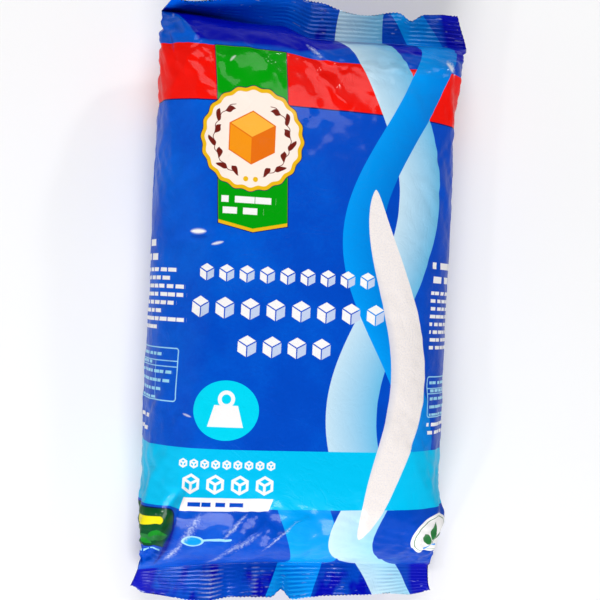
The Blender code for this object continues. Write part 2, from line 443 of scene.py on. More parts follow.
def cloth_creases(places, stations):
    """The settled cloth's displacements on the fine grid, none of them past the cap."""
    moved = settled_film()
    size = np.linalg.norm(moved, axis=-1, keepdims=True) + 1e-9
    moved *= CREASE_CAP * np.tanh(size / CREASE_CAP) / size
    rows = np.interp(stations, CLOTH_STATIONS, np.arange(len(CLOTH_STATIONS)))
    columns = (places + HALF_GIRTH) / (2 * HALF_GIRTH) * CLOTH_COLUMNS - 0.5
    return resample(resample(moved, rows, 0, False), columns, 1, True)


# ---------------------------------------------------------------- listed creases

# Round ridges and valleys on the front: (start, end, height of the crest, reach to each side)
ROUND_RIDGES = (
    ((0.060, -0.107), (0.044, -0.080), 0.0018, 0.0085),  # hip of the lower right corner
    ((-0.060, 0.118), (-0.043, 0.096), 0.0018, 0.0085),  # hip of the upper left corner
    ((0.062, 0.108), (0.045, 0.086), 0.0018, 0.0085),  # hip of the upper right corner
    ((-0.034, -0.113), (0.006, -0.086), 0.0012, 0.0065),  # fold that the notched fin pulls
    ((-0.002, 0.110), (0.010, 0.092), 0.0012, 0.0065),  # fold beside the upper dent
    ((-0.058, 0.020), (-0.042, 0.0215), -0.0005, 0.0025),
    ((-0.036, 0.1000), (-0.012, 0.0985), 0.0026, 0.0120),  # full shoulder over the stripe
    ((-0.042, -0.1000), (0.030, -0.0990), 0.0026, 0.0120),  # full shoulder at the lower end
)

# Crisp ridges on the front: (start, end, height, reach to its left, reach to its right)
CRISP_RIDGES = (
    ((-0.0567, -0.1130), (-0.0440, -0.0740), 0.0036, 0.0014, 0.0120),  # lower left corner's hip
    ((-0.0592, -0.1110), (-0.0475, -0.0760), -0.0036, 0.0030, 0.0012),  # valley on its left
    ((-0.0340, -0.1120), (-0.0130, -0.0870), 0.0024, 0.0014, 0.0045),
    ((-0.0300, -0.0990), (-0.0195, -0.0815), 0.0016, 0.0012, 0.0030),
    ((-0.0150, -0.0990), (0.0040, -0.0845), 0.0014, 0.0010, 0.0024),
    ((-0.0250, -0.1080), (-0.0180, -0.0985), 0.0007, 0.0010, 0.0016),
    ((-0.0050, -0.1080), (0.0080, -0.0960), 0.0006, 0.0010, 0.0020),
    ((0.0360, -0.1080), (0.0520, -0.0930), 0.0009, 0.0014, 0.0030),
    ((0.0560, -0.1120), (0.0480, -0.0860), 0.0012, 0.0030, 0.0020),
    ((-0.0600, 0.1160), (-0.0480, 0.0985), 0.0024, 0.0045, 0.0020),  # upper left corner's hip
    ((-0.0620, 0.1000), (-0.0460, 0.0760), 0.0012, 0.0022, 0.0035),
    ((-0.0600, 0.0800), (-0.0490, 0.0960), 0.0008, 0.0014, 0.0022),
    ((-0.0070, 0.1060), (0.0060, 0.0930), 0.0012, 0.0022, 0.0012),
    ((-0.0060, 0.0960), (0.0120, 0.0760), 0.0009, 0.0018, 0.0030),
    ((0.0080, 0.0950), (0.0060, 0.0800), 0.0006, 0.0014, 0.0014),
    ((0.0160, 0.0960), (0.0080, 0.0860), 0.0006, 0.0012, 0.0020),
    ((0.0200, 0.1060), (0.0340, 0.0900), 0.0008, 0.0016, 0.0026),
    ((0.0620, 0.1100), (0.0500, 0.0860), 0.0018, 0.0050, 0.0022),  # upper right corner's hip
    ((-0.0470, 0.0275), (-0.0350, 0.0265), 0.0006, 0.0012, 0.0012),
    ((-0.0380, 0.0240), (-0.0270, 0.0235), 0.0005, 0.0010, 0.0010),
)


def across_line(x, y, start, end):
    """Share of the way from start to end, and the distance off the line, to its right."""
    run_x, run_y = end[0] - start[0], end[1] - start[1]
    length = math.hypot(run_x, run_y)
    along = ((x - start[0]) * run_x + (y - start[1]) * run_y) / length**2
    return along.clip(0, 1), ((x - start[0]) * run_y - (y - start[1]) * run_x) / length


def round_ridge(x, y, start, end, height, reach):
    """A straight ridge with a round crest, highest half way from start to end."""
    along, off = across_line(x, y, start, end)
    return height * np.sin(math.pi * along) * bump(off, 0, reach)


def crisp_ridge(x, y, start, end, height, left_reach, right_reach):
    """A straight ridge with a sharp crest, and a little zigzag in it."""
    along, off = across_line(x, y, start, end)
    off = off + 0.0005 * np.sin(along * 17 + 3 * start[0] / 0.01)
    reach = np.where(off < 0, left_reach, right_reach)
    return height * np.sqrt(np.sin(math.pi * along)) * np.exp(-np.abs(off) / reach)


def front_relief(x, y):
    """The swells, dents and ridges that the sugar behind the film gives to the front."""
    swell = 0.0007 * np.sin(x / 0.017 + 0.8) * np.sin(y / 0.023 + 0.3)
    pinch = -0.0010 * bump(y, 0.022, 0.016) * smooth(0.005, -0.055, x)
    dent = -0.0018 * bump(x, 0.000, 0.014) * bump(y, 0.092, 0.010)
    ridges = sum(round_ridge(x, y, *row) for row in ROUND_RIDGES)
    return swell + pinch + dent + ridges + sum(crisp_ridge(x, y, *row) for row in CRISP_RIDGES)


def seam_relief(place):
    """Next to the free edge of the lengthwise seam's flap, the back is a step off the floor."""
    off_flap = HALF_GIRTH + place - SEAM_FLAP_WIDTH
    return SEAM_STEP * smooth(0, 0.0012, off_flap) * smooth(0.016, 0.005, off_flap)


FACET_FOLDS = 7
BROAD_FACET, FINE_FACET, FIN_FACET = 0.0056, 0.0020, 0.0040  # depths
MEAN_FACET = 0.30  # average of what facets() gives


def facets(place, length, size, seed):
    """Flat facets between straight crossing creases, as crushed film takes: from 0 to about 1."""
    random = np.random.default_rng(seed)
    total = 0
    for angle, width, turn, shift in random.random((FACET_FOLDS, 4)):
        wave = size * (0.7 + 0.8 * width)
        angle, turn, shift = math.pi * angle, 6.28 * turn, 6.28 * shift
        bend = np.sin(place / (1.7 * wave) + turn) * np.sin(length / (2.1 * wave) + shift)
        run = (place * math.cos(angle) + length * math.sin(angle)) / wave + 0.30 * bend
        share = np.sin(place / (1.9 * size) + shift) * np.sin(length / (1.6 * size) + 2 * turn)
        total = total + (0.5 + 0.5 * share) * np.abs(2 * (run - np.floor(run)) - 1)
    return total / FACET_FOLDS


def surface_normals(grid):
    """Outward normals of the grid's points."""
    across = np.roll(grid, -1, axis=1) - np.roll(grid, 1, axis=1)
    along = np.gradient(grid, axis=0)
    normal = np.cross(across, along)
    return normal / (np.linalg.norm(normal, axis=-1, keepdims=True) + 1e-12)


def crushing(place, length, on_body):
    """Height of the crushed film's facets: strong at the ends and corners, faint elsewhere."""
    near_end = smooth(0.066, 0.104, np.abs(length))
    near_end *= 1 - 0.8 * bump(place, -0.024, 0.015) * smooth(0.0, 0.05, length)
    near_end *= 1 - 0.6 * bump(place, -0.022, 0.020) * smooth(0.0, 0.05, -length)
    at_corner = bump(np.abs(place), 0.064, 0.022) * smooth(0.030, 0.085, np.abs(length))
    on_side = smooth(0.050, 0.066, np.abs(place)) * smooth(0.112, 0.096, np.abs(place))
    in_fin = smooth(0.10, 0.0, on_body)
    on_back = smooth(0.090, 0.110, np.abs(place))
    off_seam = smooth(HALF_GIRTH, HALF_GIRTH - 0.012, np.abs(place))
    strength = 0.06 + 0.62 * near_end + 0.38 * at_corner + 0.20 * on_side
    strength = strength * (1 - in_fin) * (1 - 0.6 * on_back) * off_seam
    drawn = place + 0.65 * (np.abs(length) - 0.090)
    broad = BROAD_FACET * (facets(drawn, length * 0.55, 0.0120, seed=21) - MEAN_FACET)
    fine = FINE_FACET * (facets(place, length, 0.0052, seed=22) - MEAN_FACET)
    return (broad + fine) * strength


def creased_film(places, stations):
    """The finished film: (grid of points, length of film at each row)."""
    grid = bare_film(places, stations)
    lengths = film_lengths(grid, places)
    station = stations[:, None]
    on_body = smooth(1.0, 2.0, station) * smooth(4.0, 3.0, station)
    off_fins = smooth(1.0, 1.25, station) * smooth(4.0, 3.75, station)
    inside_corner = smooth(0.074, 0.058, np.abs(places))
    relief = front_relief(grid[..., 0], grid[..., 1])
    grid[..., 2] += relief * inside_corner * np.sqrt(off_fins)
    grid += cloth_creases(places, stations) * off_fins[..., None]
    u, v = np.meshgrid(places, lengths)
    grid += surface_normals(grid) * crushing(u, v, on_body)[..., None]
    grid[..., 2] += seam_relief(places) * on_body
    out = np.maximum(1 - station, station - 4).clip(0, 1)
    crumples = facets(grid[..., 0], grid[..., 1], 0.0100, seed=23) - MEAN_FACET
    grid[..., 2] += FIN_FACET * out * crumples
    grid[..., 2] = np.maximum(grid[..., 2], 0.0)
    return grid, lengths


# ---------------------------------------------------------------- the film's mesh

BAKE_STRIP = 0.004  # room in the bake's map beyond each cut edge, for the edge's own faces


def paired_layers():
    """Columns that lie on each other in a fin, as (upper layer, lower layer), left to right."""
    return [
        (LEFT_FRONT_CORNER + i, (LEFT_BACK_CORNER - i) % COLUMNS)
        for i in range(FRONT_COLUMNS + 1)
    ]


def cut_edge_faces():
    """Faces, as columns of the last row, that close the cut edge between the film's layers."""
    pairs = paired_layers()
    faces = []
    for i in range(FRONT_COLUMNS):
        from_left, from_right = i, FRONT_COLUMNS - 1 - i
        front, next_front = pairs[i][0], pairs[i + 1][0]
        back, next_back = pairs[i][1], pairs[i + 1][1]
        if from_left < FOLD_COLUMN:
            upper, lower = LEFT_FRONT_CORNER - i, LEFT_BACK_CORNER + i
            faces.append((front, next_front, upper - 1, upper))
            faces.append((lower, lower + 1, next_back, back))
        elif from_right < FOLD_COLUMN:
            upper = RIGHT_FRONT_CORNER + from_right
            lower = RIGHT_BACK_CORNER - from_right
            faces.append((front, next_front, upper, upper + 1))
            faces.append((lower - 1, lower, next_back, back))
        else:
            faces.append((front, next_front, next_back, back))
    left_fold = LEFT_BACK_CORNER + FOLD_COLUMN
    right_fold = RIGHT_FRONT_CORNER + FOLD_COLUMN
    left, right = pairs[FOLD_COLUMN], pairs[FRONT_COLUMNS - FOLD_COLUMN]
    faces.append((left[0], left[1], left_fold))
    faces.append((right[0], right_fold, right[1]))
    return [list(dict.fromkeys(face)) for face in faces]


def cut_teeth(grid, places):
    """Gives both cut edges the small teeth of the knife."""
    x, _ = fin_ring(places, 1.0)
    column = np.round((x + FIN_HALF_WIDTH) / (2 * FIN_HALF_WIDTH / FRONT_COLUMNS))
    tooth = TOOTH_DEPTH * (column % 2)
    grid[0, :, 1] += tooth
    grid[-1, :, 1] -= tooth


def film_object():
    """The film as one closed mesh with its lengths in the map named film."""
    places = girth_places()
    stations = bag_stations(FIN_ROWS, SHOULDER_ROWS, BODY_ROWS)
    bare = bare_film(places, stations).reshape(-1, 3)
    grid, lengths = creased_film(places, stations)
    cut_teeth(grid, places)
    low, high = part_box("sugar_packet")
    middle = (bare.min(axis=0) + bare.max(axis=0)) / 2
    grid[..., 0] += (low[0] + high[0]) / 2 - middle[0]
    grid[..., 1] += (low[1] + high[1]) / 2 - middle[1]

    rows = len(stations)
    quads = grid_faces(rows, COLUMNS)
    caps = cut_edge_faces()
    last = (rows - 1) * COLUMNS
    bottom_caps = [face[::-1] for face in caps]
    top_caps = [[last + column for column in face] for face in caps]
    mesh = bpy.data.meshes.new("sugar packet film")
    mesh.from_pydata(grid.reshape(-1, 3).tolist(), [], quads.tolist() + bottom_caps + top_caps)

    quad_places = np.stack([places, np.append(places[1:], HALF_GIRTH)], axis=-1)
    left = np.tile(quad_places[:, 0], rows - 1)
    right = np.tile(quad_places[:, 1], rows - 1)
    lower = np.repeat(lengths[:-1], COLUMNS)
    upper = np.repeat(lengths[1:], COLUMNS)
    corners = [(left, lower), (right, lower), (right, upper), (left, upper)]
    film_map = np.stack([np.stack(corner, axis=-1) for corner in corners], axis=1).reshape(-1, 2)
    cap_map, bake_cap_map = [], []
    for cap_list, length, outward in ((bottom_caps, lengths[0], -1), (top_caps, lengths[-1], 1)):
        for face in cap_list:
            for vertex in face:
                place = places[vertex % COLUMNS]
                x = float(fin_ring(place, 1.0)[0])
                behind = abs(place) > FIN_HALF_WIDTH
                cap_map.append((x, length))
                bake_cap_map.append((x, length + outward * BAKE_STRIP * (0.3 + 0.5 * behind)))
    film_layer = mesh.uv_layers.new(name="film")
    film_layer.data.foreach_set("uv", np.vstack([film_map, cap_map]).ravel().astype(np.float32))
    span = lengths[-1] - lengths[0] + 2 * BAKE_STRIP
    bake = np.vstack([film_map, bake_cap_map])
    bake = (bake - (-HALF_GIRTH, lengths[0] - BAKE_STRIP)) / (2 * HALF_GIRTH, span)
    bake_layer = mesh.uv_layers.new(name="OFBake")
    bake_layer.data.foreach_set("uv", bake.ravel().astype(np.float32))
    mesh.update()
    mesh.validate()
    mesh.shade_smooth()
    film = bpy.data.objects.new("sugar_packet_film", mesh)
    bpy.context.scene.collection.objects.link(film)
    return film


# ---------------------------------------------------------------- node trees


class Wire:
    """The number at one socket of a node tree. Arithmetic on it adds Math nodes to the tree."""

    def __init__(self, tree, socket):
        self.tree = tree
        self.socket = socket

    def math(self, operation, *others, clamp=False):
        node = self.tree.nodes.new("ShaderNodeMath")
        node.operation = operation
        node.use_clamp = clamp
        for socket, value in zip(node.inputs, (self, *others)):
            connect(self.tree, value, socket)
        return Wire(self.tree, node.outputs[0])

    def __rsub__(self, other):
        return self.math("MULTIPLY_ADD", -1.0, other)

    def __neg__(self):
        return self * -1

    __add__ = __radd__ = partialmethod(math, "ADD")
    __sub__ = partialmethod(math, "SUBTRACT")
    __mul__ = __rmul__ = partialmethod(math, "MULTIPLY")
    __truediv__ = partialmethod(math, "DIVIDE")
    __abs__ = partialmethod(math, "ABSOLUTE")
    floor = partialmethod(math, "FLOOR")
    sine = partialmethod(math, "SINE")
    cosine = partialmethod(math, "COSINE")
    root = partialmethod(math, "SQRT")
    at_least = partialmethod(math, "MAXIMUM")
    at_most = partialmethod(math, "MINIMUM")
    above = partialmethod(math, "GREATER_THAN")

    def clipped(self):
        """The number, kept between 0 and 1."""
        return self.math("ADD", 0.0, clamp=True)


def connect(tree, value, socket):
    """Links a wire to a socket, or sets the socket to a plain value."""
    if isinstance(value, Wire):
        tree.links.new(value.socket, socket)
    else:
        socket.default_value = value


def make_group(name, inputs, outputs, recipe):
    """A node group of numbers. The recipe takes the inputs' wires and returns the outputs'."""
    tree = bpy.data.node_groups.new(name, "ShaderNodeTree")
    for label, value in inputs.items():
        socket = tree.interface.new_socket(
            label, in_out="INPUT", socket_type="NodeSocketFloat"
        )
        socket.default_value = value
    for label in outputs:
        tree.interface.new_socket(label, in_out="OUTPUT", socket_type="NodeSocketFloat")
    start = tree.nodes.new("NodeGroupInput")
    end = tree.nodes.new("NodeGroupOutput")
    results = recipe(*[Wire(tree, start.outputs[label]) for label in inputs])
    for label, wire in zip(outputs, results):
        connect(tree, wire, end.inputs[label])
    return tree


def stamp(group, x, y, *values):
    """Places a group where the wires x and y are, with its own values, and gives its outputs."""
    tree = x.tree
    node = tree.nodes.new("ShaderNodeGroup")
    node.node_tree = group
    for socket, value in zip(node.inputs, (x, y, *values)):
        connect(tree, value, socket)
    return [Wire(tree, socket) for socket in node.outputs]


def noise(tree, vector, scale, detail=2.0, roughness=0.5, distortion=0.0):
    """Soft noise, from about 0.3 to 0.7, over a vector socket."""
    node = tree.nodes.new("ShaderNodeTexNoise")
    node.inputs["Scale"].default_value = scale
    node.inputs["Detail"].default_value = detail
    node.inputs["Roughness"].default_value = roughness
    node.inputs["Distortion"].default_value = distortion
    tree.links.new(vector, node.inputs["Vector"])
    return Wire(tree, node.outputs[0])


def joined(x, y, z=0.0):
    """A vector socket with the three numbers."""
    node = x.tree.nodes.new("ShaderNodeCombineXYZ")
    for socket, value in zip(node.inputs, (x, y, z)):
        connect(x.tree, value, socket)
    return node.outputs[0]


RANDOM_STRIDE = 37.31  # keeps the random numbers of neighbouring rows apart
SIN_60, TAN_30 = 0.866, 0.577


def random_share(x, y):
    """An even random number from 0 to 1 for each pair of whole numbers."""
    node = x.tree.nodes.new("ShaderNodeTexWhiteNoise")
    node.noise_dimensions = "1D"
    connect(x.tree, x + y * RANDOM_STRIDE, node.inputs["W"])
    return Wire(x.tree, node.outputs["Value"])


def film_noise(tree, across, along, detail, roughness):
    """Soft noise on the flat film, with its waves per metre across and along the bag."""
    film_map = tree.nodes.new("ShaderNodeUVMap")
    film_map.uv_map = "film"
    scaled = tree.nodes.new("ShaderNodeMapping")
    scaled.inputs["Scale"].default_value = (across, along, 1.0)
    tree.links.new(film_map.outputs[0], scaled.inputs["Vector"])
    return noise(tree, scaled.outputs[0], 1.0, detail, roughness)


def new_material(name):
    """A material's node tree and its shader, with the material."""
    material = bpy.data.materials.new(name)
    material.use_nodes = True
    tree = material.node_tree
    return material, tree, tree.nodes["Principled BSDF"]


def add_bump(tree, shader, height, strength, distance):
    """Lets the height, whose 1 stands for the distance in metres, shade the surface."""
    bump_node = tree.nodes.new("ShaderNodeBump")
    bump_node.inputs["Strength"].default_value = strength
    bump_node.inputs["Distance"].default_value = distance
    connect(tree, height, bump_node.inputs["Height"])
    tree.links.new(bump_node.outputs["Normal"], shader.inputs["Normal"])


# ---------------------------------------------------------------- shapes of the print, in mm

INK_EDGE = 0.18  # width over which the ink fades at the edge of a printed shape
PLACE = {"X": 0.0, "Y": 0.0}


def ink(distance):
    """1 inside a printed shape and 0 outside it, from the distance to its edge."""
    return distance.math("MULTIPLY_ADD", -1 / INK_EDGE, 0.5, clamp=True)


def oval_recipe(x, y, centre_x, centre_y, half_width, half_height):
    across = (x - centre_x) / half_width
    up = (y - centre_y) / half_height
    radius = (across * across + up * up).root()
    return [(radius - 1) * half_width.at_most(half_height)]


def bar_recipe(x, y, centre_x, centre_y, half_width, half_height, corner, lean):
    up = y - centre_y
    across = abs(x - centre_x - lean * up) - half_width + corner
    out = abs(up) - half_height + corner
    far_across, far_out = across.at_least(0.0), out.at_least(0.0)
    outside = (far_across * far_across + far_out * far_out).root()
    return [outside + across.at_least(out).at_most(0.0) - corner]


def ribbon_recipe(x, y, middle, swing, wavelength, phase, half_width, low, high):
    """A wavy ribbon that narrows to a point at its low and its high end."""
    turn = y / wavelength * (2 * math.pi) + phase
    slope = swing * turn.cosine() / wavelength * (2 * math.pi)
    along = ((y - low) / (high - low)).at_least(0.0).at_most(1.0)
    width = half_width * (along * (1.0 - along) * 4.0).math("POWER", 0.65)
    offset = x - middle - swing * turn.sine()
    distance = (abs(offset) - width) / (slope * slope + 1).root()
    return [distance.at_least(low - y).at_least(y - high), offset / half_width]


def small_print_recipe(x, y, left, right, top, bottom, pitch, height):
    """Rows of bars as long as words, each row starting at the left and ending where it likes."""
    row = ((top - y) / pitch).floor()
    line = abs((top - y) - (row + 0.5) * pitch) - height / 2
    pace = height * 3.2
    shift = random_share(row, left) * 5
    scaled = (x - left) / pace + shift
    word = scaled.floor()
    gap = 0.97 - random_share(word, row) * 0.35 - (scaled - word)
    ragged = (1.0 - random_share(row, right) * 0.35) * (right - left) / pace + shift
    inside = (x - left).at_most((ragged.floor() - scaled) * pace)
    inside = inside.at_most(top - y).at_most(y - bottom)
    return [line.at_least(-gap * pace).at_least(-inside)]


def cube_row_recipe(x, y, first, count, pitch, middle, size):
    """Cubes seen over one corner: each is a hexagon, its size the length of a cube's edge."""
    number = ((x - first) / pitch + 0.5).floor().at_least(0.0).at_most(count - 1)
    across = x - first - number * pitch
    up = y - middle
    hexagon = abs(across).at_least(abs(across) * 0.5 + abs(up) * SIN_60) - size * SIN_60
    top = up - abs(across) * TAN_30
    seam = (abs(top) * SIN_60).at_most(abs(across) + top.above(0.0) * 9)
    return [hexagon, seam, top.above(0.0), across.above(0.0)]


def leaf_recipe(x, y, centre_x, centre_y, half_length, half_width, angle):
    """A pointed leaf between two arcs, its length turned by the angle."""
    cosine, sine = angle.cosine(), angle.sine()
    right, up = x - centre_x, y - centre_y
    along = right * cosine + up * sine
    across = up * cosine - right * sine
    share = along / half_length
    return [(abs(across) - half_width * (1 - share * share)) * 0.9, across]


def crease_recipe(x, y, start_x, start_y, end_x, end_y, half_width, rag):
    """A streak that narrows to both its ends, ragged where the random rag is high."""
    run_x, run_y = end_x - start_x, end_y - start_y
    square = run_x * run_x + run_y * run_y
    length = square.root()
    along = ((x - start_x) * run_x + (y - start_y) * run_y) / square
    off = abs((x - start_x) * run_y - (y - start_y) * run_x) / length
    swell = (along * (1.0 - along) * 4.0).at_least(0.0).root()
    streak = (swell * (rag * 0.9 + 0.7) - off / half_width).clipped()
    return [streak * streak * (rag * 0.65 + 0.35)]


# Printed shapes: (kind, name, sizes beside X and Y, outputs, recipe)
CENTRE = {"Centre X": 0.0, "Centre Y": 0.0}
HALVES = {"Half Width": 1.0, "Half Height": 1.0}
TEXT_BLOCK = {"Left": 0.0, "Right": 10.0, "Top": 10.0, "Bottom": 0.0, "Pitch": 3.0, "Height": 1.0}
CUBE_ROW = {"First": 0.0, "Count": 5.0, "Pitch": 8.0, "Middle": 0.0, "Size": 4.0}
WAVE = {"Middle": 0.0, "Swing": 10.0, "Wavelength": 100.0, "Phase": 0.0, "Half Width": 5.0}
LEAF = {"Half Length": 3.0, "Half Width": 1.0, "Angle": 0.0}
LINE = {"Start X": 0.0, "Start Y": 0.0, "End X": 5.0, "End Y": 5.0}
STREAK = {**LINE, "Half Width": 1.0, "Rag": 0.5}
SHAPES = (
    ("oval", "printed oval", {**CENTRE, **HALVES}, ["Distance"], oval_recipe),
    (
        "bar",
        "printed bar",
        {**CENTRE, **HALVES, "Corner": 0.3, "Lean": 0.0},
        ["Distance"],
        bar_recipe,
    ),
    (
        "ribbon",
        "printed ribbon",
        {**WAVE, "Low": -50.0, "High": 50.0},
        ["Distance", "Across"],
        ribbon_recipe,
    ),
    ("small print", "lines of small print", TEXT_BLOCK, ["Distance"], small_print_recipe),
    (
        "cubes",
        "row of sugar cubes",
        CUBE_ROW,
        ["Distance", "Seam", "On Top", "On Right"],
        cube_row_recipe,
    ),
    ("leaf", "printed leaf", {**CENTRE, **LEAF}, ["Distance", "Across"], leaf_recipe),
    # The crease shape lays painted highlights, painted glints and painted shadows along folds
    ("crease", "painted highlight and shadow streak", STREAK, ["Amount"], crease_recipe),
)
GROUPS = {
    kind: make_group(name, {**PLACE, **sizes}, outputs, recipe)
    for kind, name, sizes, outputs, recipe in SHAPES
}


# ---------------------------------------------------------------- inks


def srgb(red, green, blue):
    """Linear colour of a printer's 0 to 255 values."""
    shares = [value / 255 for value in (red, green, blue)]
    curve = [s / 12.92 if s <= 0.04045 else ((s + 0.055) / 1.055) ** 2.4 for s in shares]
    return (*curve, 1.0)


GROUND_BLUE = srgb(0, 74, 195)
LIGHTER_INK_AND_PAINTED_LIGHT = srgb(0, 102, 222)
DARKER_INK_AND_PAINTED_SHADE = srgb(0, 62, 178)
PAINTED_SHADE_NAVY = srgb(0, 10, 177)
PAINTED_SHADOW_NAVY = srgb(0, 6, 130)
PAINTED_LIGHT_FIN_BLUE = srgb(0, 118, 250)
PAINTED_HIGHLIGHT_WHITE = srgb(214, 224, 244)
BAND_RED = srgb(244, 16, 4)
STRIPE_GREEN = srgb(0, 156, 8)
GOLD = srgb(236, 184, 20)
CREAM = srgb(253, 238, 226)
ORANGE = srgb(246, 150, 20)
LIGHT_ORANGE = srgb(252, 182, 62)
DARK_ORANGE = srgb(232, 112, 14)
BROWN = srgb(112, 28, 20)
PALE_BLUE = srgb(156, 216, 243)
LIGHT_PALE = srgb(196, 224, 240)
DEEP_PALE = srgb(104, 186, 228)
MID_BLUE = srgb(0, 152, 242)
DEEP_MID = srgb(0, 122, 214)
ICE_BLUE = srgb(202, 232, 246)
LOW_MID = srgb(0, 162, 240)
WHITE_INK = srgb(246, 244, 244)
SUGAR_WHITE = srgb(244, 236, 232)
SUGAR_SHADE = srgb(196, 200, 222)
CYAN = srgb(0, 192, 240)
BRIGHT_CYAN = srgb(0, 212, 240)
CUBE_SHADE = srgb(176, 196, 232)
DARK_LINE = srgb(4, 16, 84)
LEAF_GREEN = srgb(40, 120, 60)
DARK_GREEN = srgb(4, 78, 38)
YELLOW = srgb(240, 226, 20)
BLACK_INK = srgb(18, 18, 24)


class Printing:
    """The stack of inks on the film: each shape covers what was printed before it."""

    def __init__(self, tree, x, y, ground):
        self.tree = tree
        self.x = x
        self.y = y
        self.colour = ground

    def cover(self, colour, amount):
        """Lays a colour, plain or from a socket, where amount is 1."""
        self.colour = self.mixed(self.colour, colour, amount)

    def fill(self, colour, distance):
        """Lays a colour inside the shape whose edge is where distance is 0."""
        self.cover(colour, ink(distance))

    def mixed(self, first, second, share):
        """A colour socket between two colours, plain or from sockets."""
        node = self.tree.nodes.new("ShaderNodeMix")
        node.data_type = "RGBA"
        connect(self.tree, share, node.inputs["Factor"])
        for name, value in (("A_Color", first), ("B_Color", second)):
            socket = next(s for s in node.inputs if s.identifier == name)
            if isinstance(value, tuple):
                socket.default_value = value
            else:
                self.tree.links.new(value, socket)
        return next(s for s in node.outputs if s.identifier == "Result_Color")

    def shape(self, kind, *values):
        """The outputs of one of the printed shapes, placed with its own sizes."""
        return stamp(GROUPS[kind], self.x, self.y, *values)

    def oval(self, *values):
        return self.shape("oval", *values)[0]

    def bar(self, centre_x, centre_y, half_width, half_height, corner=0.3, lean=0.0):
        return self.shape("bar", centre_x, centre_y, half_width, half_height, corner, lean)[0]

    def small_print(self, colour, *values):
        self.fill(colour, self.shape("small print", *values)[0])

    def cubes(self, *values):
        """A row of white cubes with grey-blue right faces."""
        edge, seam, on_top, on_right = self.shape("cubes", *values)
        faces = self.mixed(WHITE_INK, CUBE_SHADE, on_right * (1.0 - on_top) * 0.8)
        self.fill(faces, edge.at_least(0.25 - seam))


def strip(value, low, high):
    """Distance to the edges of the strip from low to high."""
    return abs(value - (low + high) / 2) - (high - low) / 2


# ---------------------------------------------------------------- the print's layout, in mm

RED_BAND = (75.1, 95.9)
CYAN_BAND = (-82.3, -58.9)
STRIPE_MIDDLE = -25.2
STRIPE_HALF_WIDTH = 13.6
STRIPE_END = 25.0
BADGE = (-25.4, 60.9)
BADGE_RADIUS = 20.0
WREATH_RADIUS = 14.9
WREATH_LEAVES = 8.0
WREATH_STEP = math.radians(19)  # from one leaf to the next, round the badge
WEIGHT_DISC = (-30.8, -43.9)
CAPTION = (-36.5, -10.5, 39.4, 30.8, 4.3, 2.5)  # on the stripe, below the badge
BAND_CUBES = ((-46.5, 9.0, 4.3, -64.8, 1.9), (-43.0, 4.0, 9.6, -72.6, 3.9))
BAND_LABEL = (-28.6, -80.4, 17.4, 2.6, 0.3, 0.3)
LABEL_WORDS = (-44.2, -9.0, -78.7, -82.1, 3.4, 1.7)
SPOON_BOWL = (-41.0, -96.6)
SPOON_HANDLE = (-31.4, -96.1, 5.8, 0.6, 0.5)
PATCH = (-69.0, -92.0, 19.5, 8.4, 1.6, 0.12)
PATCH_BARS = ((-60.5, -88.2, 7.6, 1.7, 1.7, 0.1), (-79.0, -88.2, 6.5, 1.7, 1.7, 0.1))
PATCH_LEAVES = (
    (-56.5, -95.2, 0.35),
    (-63.0, -96.6, 2.7),
    (-70.0, -95.0, 0.5),
    (-77.0, -96.4, 2.8),
)
PATCH_CAPTION = (-84.0, -50.0, -102.2, -104.6, 2.4, 1.1)
LEAF_BADGE = (58.4, -96.6)
BADGE_LEAVES = ((-3.2, -1.0, 2.2), (3.2, -1.0, 0.94), (0.0, 2.8, math.pi / 2))
PANEL_EDGE = 53.0  # from the front's middle to where the side panels' words start
LEFT_TEXT_END = -51.0
PRINT_TURN = 0.0079  # how much the film is wrapped askew, in mm of height for each mm across
PRINT_FAN = 0.000316
# How fast the askew print eases off past the side edges, so that it meets itself at the seam
BACK_EASE = FIN_HALF_WIDTH / (HALF_GIRTH - FIN_HALF_WIDTH)

# Headline rows: (first cube's middle, number of cubes, pitch, row's middle, cube's edge)
HEADLINE = (
    (-41.4, 9.0, 8.05, 8.8, 3.35),
    (-43.6, 8.0, 10.1, -4.6, 4.2),
    (-24.0, 4.0, 9.9, -18.9, 4.2),
)

# Ribbons: (colour, shaded colour, middle, swing, wavelength, phase, half width, low end, high end)
LONG = 420.0  # an end that lies far beyond the bag
BACK_RIBBONS = (
    (LIGHT_PALE, DEEP_PALE, 32.0, 13.0, 172.0, 0.06, 10.4, -LONG, LONG),
    (MID_BLUE, DEEP_MID, 35.0, -15.0, 172.0, 0.62, 8.0, -LONG, LONG),
)
SUGAR_RIBBON = (SUGAR_WHITE, SUGAR_SHADE, 34.0, 9.5, 156.0, 2.75, 8.6, -97.0, 45.0)
LOW_RIBBONS = (
    (LOW_MID, MID_BLUE, 2.0, 7.0, 120.0, 1.2, 10.5, -LONG, LONG),
    (ICE_BLUE, PALE_BLUE, 34.0, 12.0, 110.0, 3.9, 9.5, -LONG, LONG),
)


def print_ribbons(press, ribbons, limit=None):
    """Wavy ribbons, each a little darker towards its right edge."""
    for colour, shaded, *sizes in ribbons:
        distance, across = press.shape("ribbon", *sizes)
        shade = (across * 0.5 + 0.5).clipped()
        amount = ink(distance)
        press.cover(press.mixed(colour, shaded, shade), amount * limit if limit else amount)


def print_bands(press):
    """The red band, the ribbons over it, the cyan band, and the ribbons below that."""
    x, y = press.x, press.y
    press.fill(DARK_LINE, strip(y, RED_BAND[0] - 0.45, RED_BAND[1]))
    press.fill(BAND_RED, strip(y, RED_BAND[0], RED_BAND[1]))
    print_ribbons(press, BACK_RIBBONS)
    below = ink(y - CYAN_BAND[0])
    press.cover(press.ground, below)
    print_ribbons(press, LOW_RIBBONS, below)
    press.fill(CYAN, strip(y, CYAN_BAND[0], CYAN_BAND[1]))


